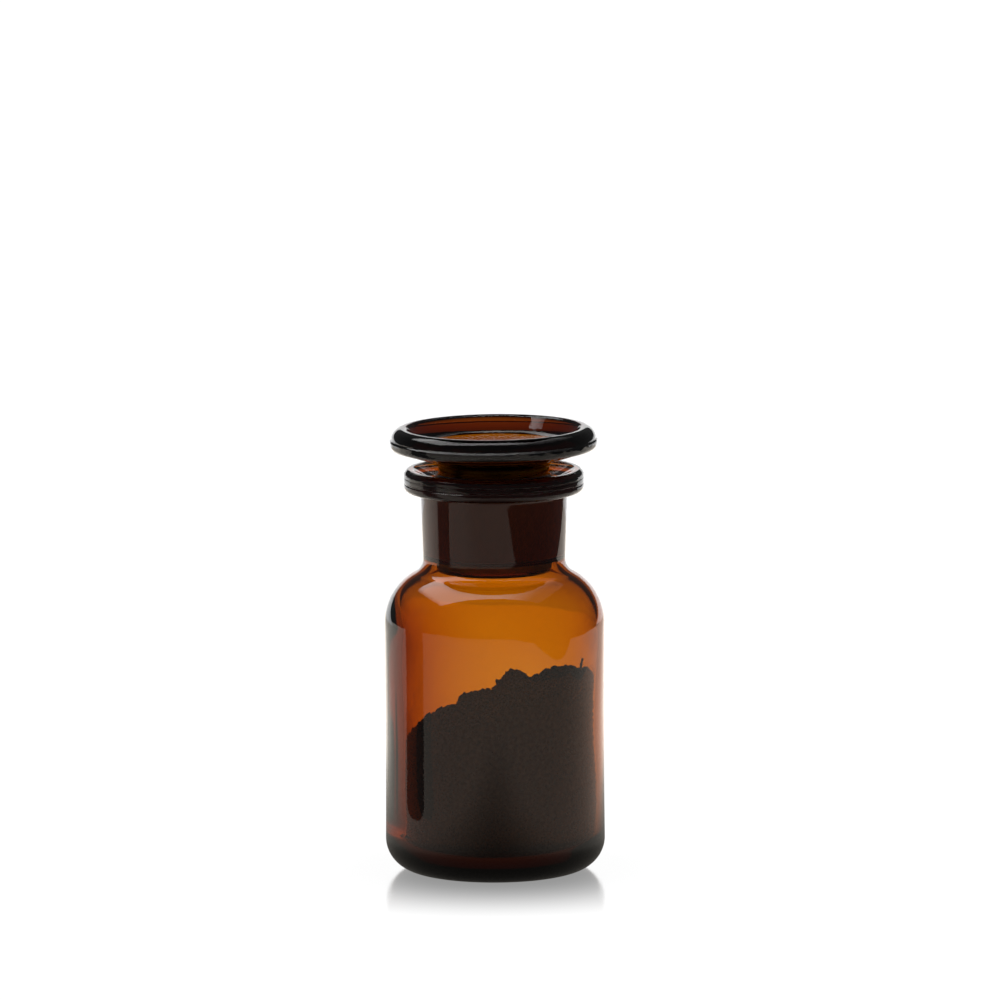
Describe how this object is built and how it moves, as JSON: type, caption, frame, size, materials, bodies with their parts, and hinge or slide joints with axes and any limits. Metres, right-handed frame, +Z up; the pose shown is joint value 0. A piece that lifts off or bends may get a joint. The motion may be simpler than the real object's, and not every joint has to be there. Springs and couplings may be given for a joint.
{
  "type": "stoppered reagent bottle",
  "caption": "Wide-neck amber glass reagent bottle with a lift-off hollow ground stopper and dished head, part filled with dry leaf.",
  "frame": {"origin": "centre of the base, on the surface the bottle stands on", "axes": "+Z up along the bottle's axis; +X towards the side where the filling is heaped higher and the pressed head sits 0.4 degrees high"},
  "size_m": [0.052, 0.052, 0.1062],
  "materials": {
    "amber_glass": "clear amber glass, fire polished, ground inside the neck",
    "amber_glass_stopper": "clear amber glass, ground on the plug",
    "dry_leaf": "matt dark loose dry leaf",
    "leaf_fragment": "matt dark broken leaf",
    "leaf_stalk": "matt brown stalk"
  },
  "bodies": {
    "bottle": {"bottle": "amber_glass", "leaf_fill": "dry_leaf", "leaf_fragments": "leaf_fragment", "leaf_stalks": "leaf_stalk"},
    "stopper": {"stopper": "amber_glass_stopper"}
  },
  "joints": [
    {"name": "stopper_lift", "type": "slide", "parent": "bottle", "child": "stopper", "axis": [0, 0, 1], "range_m": [0, 0.045]}
  ]
}
